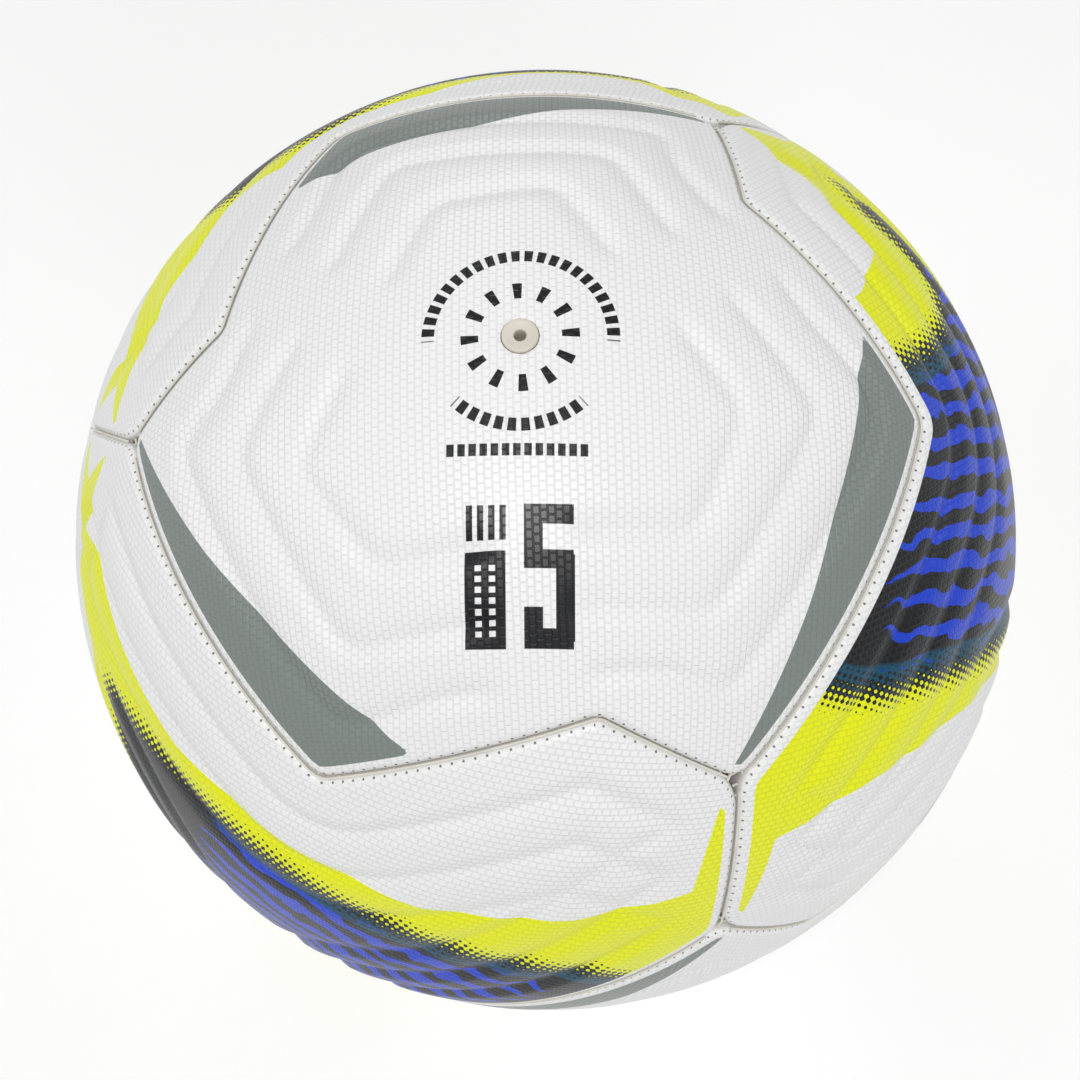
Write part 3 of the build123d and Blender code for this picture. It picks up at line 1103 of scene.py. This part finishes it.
@dataclass
class Valve:
    """The rubber plug in the valve: a flat head with a rounded rim, a needle hole and a shank."""

    head: float = 3.25
    proud: float = 0.35
    hole: float = 1.1
    depth: float = 14.0
    shank: float = 2.5
    length: float = 21.0

    def profile(self) -> List[Point]:
        """Half of the plug's section from the bottom of its bore round to its nose."""
        top = RADIUS + self.proud
        rim = []
        for t in np.linspace(0, math.pi / 2, 6):
            rim.append((self.head - 0.4 + 0.4 * math.sin(t), top - 0.4 + 0.4 * math.cos(t)))
        lip = []
        for t in np.linspace(0, math.pi / 2, 5):
            lip.append((self.hole + 0.3 - 0.3 * math.cos(t), top - 0.42 + 0.3 * math.sin(t)))
        return (
            [(0.0, top - self.depth), (self.hole - 0.15, top - self.depth)]
            + [(self.hole, top - self.depth + 0.2), (self.hole, top - 2.0)]
            + lip
            + [(2.3, top - 0.1), (2.45, top - 0.02)]
            + rim
            + [(self.head, top - 2.1), (self.head - 0.25, top - 2.4), (self.shank + 0.2, top - 2.4)]
            + [(self.shank, top - 2.6), (self.shank, top - 9.0)]
            + [(self.shank, top - self.length + 3.2)]
            + [(self.shank - 0.08, top - self.length + 2.8), (1.5, top - self.length + 0.15)]
            + [(1.3, top - self.length), (0.0, top - self.length)]
        )

    def build(self, material: bpy.types.Material) -> bpy.types.Object:
        """Turn the section round the valve's axis."""
        line = self.profile()
        clear_selection()
        bpy.ops.mesh.primitive_circle_add(vertices=len(line) + 1, radius=1)
        piece = bpy.context.active_object
        piece.name = piece.data.name = "valve_plug_rubber"
        mesh = piece.data
        mesh.clear_geometry()
        points = [(x * MM, 0, z * MM) for x, z in line]
        mesh.from_pydata(points, [(i, i + 1) for i in range(len(line) - 1)], [])
        edit(
            piece,
            lambda: bpy.ops.mesh.spin(steps=72, angle=math.tau, center=(0, 0, 0), axis=(0, 0, 1)),
            lambda: bpy.ops.mesh.select_all(action="SELECT"),
            lambda: bpy.ops.mesh.remove_doubles(threshold=0.000005),
            lambda: bpy.ops.mesh.normals_make_consistent(inside=False),
        )
        shade(piece, 50)
        dress(piece, material, "valve_plug")
        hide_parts("valve_plug")
        LOG.info("valve plug: %d faces", len(piece.data.polygons))
        return piece


@dataclass
class Inside:
    """The parts under the skins, which keep their shapes and get their real finishes."""

    def dress(self, thread: bpy.types.Material) -> None:
        """Assign a finish to every part that still shows its own shape."""
        foam, cloth, cotton = linear(226, 222, 208), linear(206, 200, 184), linear(214, 206, 186)
        black, cream = linear(38, 38, 40), linear(196, 188, 172)
        finishes = {
            "foam": PlainFinish("panel_foam", foam, 0.85, 1500, 0.00006).make(),
            "lining": PlainFinish("lining_cloth", cloth, 0.9, 1200, 0.00008, weave=True).make(),
            "tape": PlainFinish("cotton_tape", cotton, 0.85, 1300, 0.00007, weave=True).make(),
            "bladder": PlainFinish("bladder_rubber", black, 0.5, 500, 0.00003).make(),
            "stem": PlainFinish("stem_rubber", cream, 0.55, 700, 0.00003).make(),
            "thread": thread,
        }
        for name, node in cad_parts.items():
            if node.hide_render:
                continue
            for key, material in finishes.items():
                if key in name:
                    node.data.materials.clear()
                    node.data.materials.append(material)


@dataclass
class Studio:
    """The floor, the soft lights and the camera."""

    camera_from: Tuple[float, float, float] = (0.04239, -0.32061, 0.94626)
    camera_up: Tuple[float, float, float] = (0.0, 0.94711, 0.32090)
    distance: float = 3.1429
    lens: float = 46.67
    shift: Tuple[float, float] = (-0.0052, 0.0)

    def build(self) -> None:
        """Set up everything round the ball."""
        scene = bpy.context.scene
        radius = RADIUS * MM
        scene.view_settings.view_transform = "Standard"
        data = bpy.data.cameras.new("camera")
        data.lens, data.sensor_width = self.lens, 36.0
        data.shift_x, data.shift_y = self.shift
        data.clip_start, data.clip_end = 0.01, 50.0
        camera = bpy.data.objects.new("camera", data)
        scene.collection.objects.link(camera)
        back = Vector(self.camera_from).normalized()
        up = Vector(self.camera_up)
        right = up.cross(back).normalized()
        camera.matrix_world = Matrix.Translation(back * self.distance * radius) @ Matrix(
            (right, back.cross(right), back)
        ).transposed().to_4x4()
        scene.camera = camera
        clear_selection()
        bpy.ops.mesh.primitive_plane_add(size=8.0, location=(0, 0, CAD_BOX[0].z))
        floor = bpy.context.active_object
        floor.name = "floor"
        wire = Wiring("floor_paper")
        wire.shader.inputs["Specular IOR Level"].default_value = 0.1
        wire.shader.inputs["Emission Color"].default_value = (1.0, 1.0, 1.0, 1.0)
        wire.shader.inputs["Emission Strength"].default_value = 0.1
        tone = wire.step(wire.noise(wire.place(), 1.4, 2.0), 0.0, 1.0)
        paper = wire.mix(tone, (0.93, 0.93, 0.93), (0.95, 0.95, 0.95))
        floor.data.materials.append(wire.finish(paper, 0.9))
        world = bpy.data.worlds.new("soft_sky")
        world.use_nodes = True
        sky = world.node_tree.nodes["Background"]
        sky.inputs[0].default_value = (1.0, 1.0, 1.0, 1.0)
        sky.inputs[1].default_value = 0.34
        scene.world = world
        for name, place, size, power in (
            ("key", back * 1.15 + Vector((-0.1, 0.1, 0.15)), 0.34, 7.6),
            ("front_fill", Vector((0.5, -1.2, 0.75)), 0.7, 2.6),
            ("left_fill", Vector((-1.25, 0.1, 0.6)), 0.7, 2.3),
            ("right_fill", Vector((1.3, 0.35, 0.65)), 0.7, 2.3),
            ("back_fill", Vector((-0.3, 1.3, 0.8)), 0.7, 2.6),
        ):
            lamp = bpy.data.lights.new(name, "AREA")
            lamp.shape, lamp.size, lamp.energy = "DISK", size, power
            light = bpy.data.objects.new(name, lamp)
            light.location = place
            light.rotation_mode = "QUATERNION"
            light.rotation_quaternion = place.normalized().to_track_quat("Z", "Y")
            scene.collection.objects.link(light)


def main() -> None:
    """Build every part of the ball in order."""
    logging.basicConfig(level=logging.INFO, format="%(name)s: %(message)s")
    Studio().build()
    Cover().build()
    thread = PlainFinish("waxed_thread", linear(222, 219, 208), 0.6, 2500, 0.00002).make()
    Stitching().build(thread)
    cream = linear(216, 209, 196)
    Valve().build(PlainFinish("plug_rubber", cream, 0.48, 900, 0.00002, 0.08).make())
    Inside().dress(thread)


if __name__ == "__main__":
    main()
